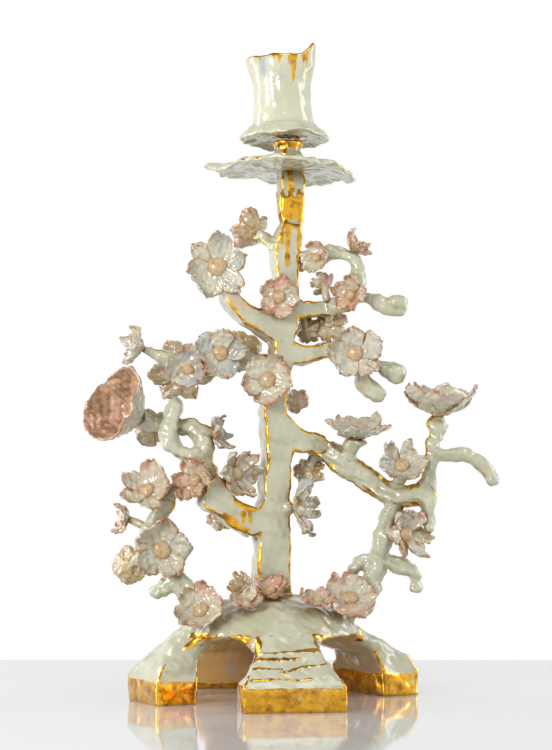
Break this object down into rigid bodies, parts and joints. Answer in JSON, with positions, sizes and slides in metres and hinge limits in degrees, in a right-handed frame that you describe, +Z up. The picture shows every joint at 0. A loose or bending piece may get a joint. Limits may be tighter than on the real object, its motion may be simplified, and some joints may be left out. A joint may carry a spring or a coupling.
{
  "type": "flowering tree candlestick",
  "caption": "Glazed clay candlestick shaped as a flowering tree on a domed base with block feet, with modelled blossoms, gilded edges, a drip pan and a candle cup.",
  "frame": {"origin": "middle of the ground the object covers, on the surface its feet stand on", "axes": "+Z up along the trunk, -Y the front face of the trunk slab, +X to the right of that face"},
  "size_m": [0.2408, 0.1804, 0.3901],
  "materials": {
    "celadon_glaze": "glossy pale celadon glaze over hand-worked clay",
    "gold_lustre": "fired gold lustre, bright and brushed on by hand",
    "petal_blue": "glossy white glaze blushed with pale blue",
    "petal_pink": "glossy white glaze blushed with pink",
    "petal_cream": "glossy khaki cream glaze on petal backs",
    "peach_button": "glossy peach glaze on flower centres"
  },
  "bodies": {
    "root": {"base_dome": "celadon_glaze", "foot_front": "celadon_glaze", "foot_left": "celadon_glaze", "foot_back": "celadon_glaze", "foot_right": "celadon_glaze", "trunk_lower": "celadon_glaze", "trunk_middle": "celadon_glaze", "trunk_upper": "celadon_glaze", "trunk_stem": "gold_lustre", "drip_pan": "celadon_glaze", "cup_flange": "celadon_glaze", "cup_neck": "celadon_glaze", "candle_cup": "celadon_glaze", "left_bough": "celadon_glaze", "bud_hook": "celadon_glaze", "left_loop": "celadon_glaze", "left_loop_root": "celadon_glaze", "left_side_branch": "celadon_glaze", "crown_twig": "celadon_glaze", "upper_right_loop": "celadon_glaze", "forked_twig": "celadon_glaze", "right_bough": "celadon_glaze", "bloom_stem": "celadon_glaze", "right_riser": "celadon_glaze", "right_loop": "celadon_glaze", "flower_crown_left": "petal_blue", "flower_crown_twig": "petal_pink", "flower_trunk_top": "petal_pink", "flower_loop_front": "petal_pink", "flower_loop_top": "petal_pink", "flower_loop_end": "petal_pink", "flower_right_back": "petal_cream", "flower_fork_front": "petal_blue", "flower_side_tip": "petal_blue", "flower_side_back": "petal_cream", "flower_side_middle": "petal_blue", "flower_side_front": "petal_blue", "flower_side_inner": "petal_cream", "flower_trunk_middle": "petal_blue", "flower_great_cup": "petal_pink", "flower_bough_back": "petal_cream", "flower_bough_inner": "petal_blue", "flower_bough_right": "petal_blue", "flower_bough_front": "petal_pink", "flower_loop_bowl": "petal_pink", "flower_left_front": "petal_blue", "flower_left_back": "petal_cream", "flower_dome_left": "petal_blue", "flower_dome_front_left": "petal_pink", "flower_trunk_foot": "petal_pink", "flower_trunk_rear": "petal_pink", "flower_dome_front_right": "petal_pink", "flower_dome_right": "petal_pink", "flower_trunk_right": "petal_blue", "flower_bough_under": "petal_pink", "flower_right_bowl": "petal_blue", "flower_right_front": "petal_blue", "flower_riser_trumpet": "petal_blue", "flower_right_loop": "petal_blue"}
  },
  "joints": []
}
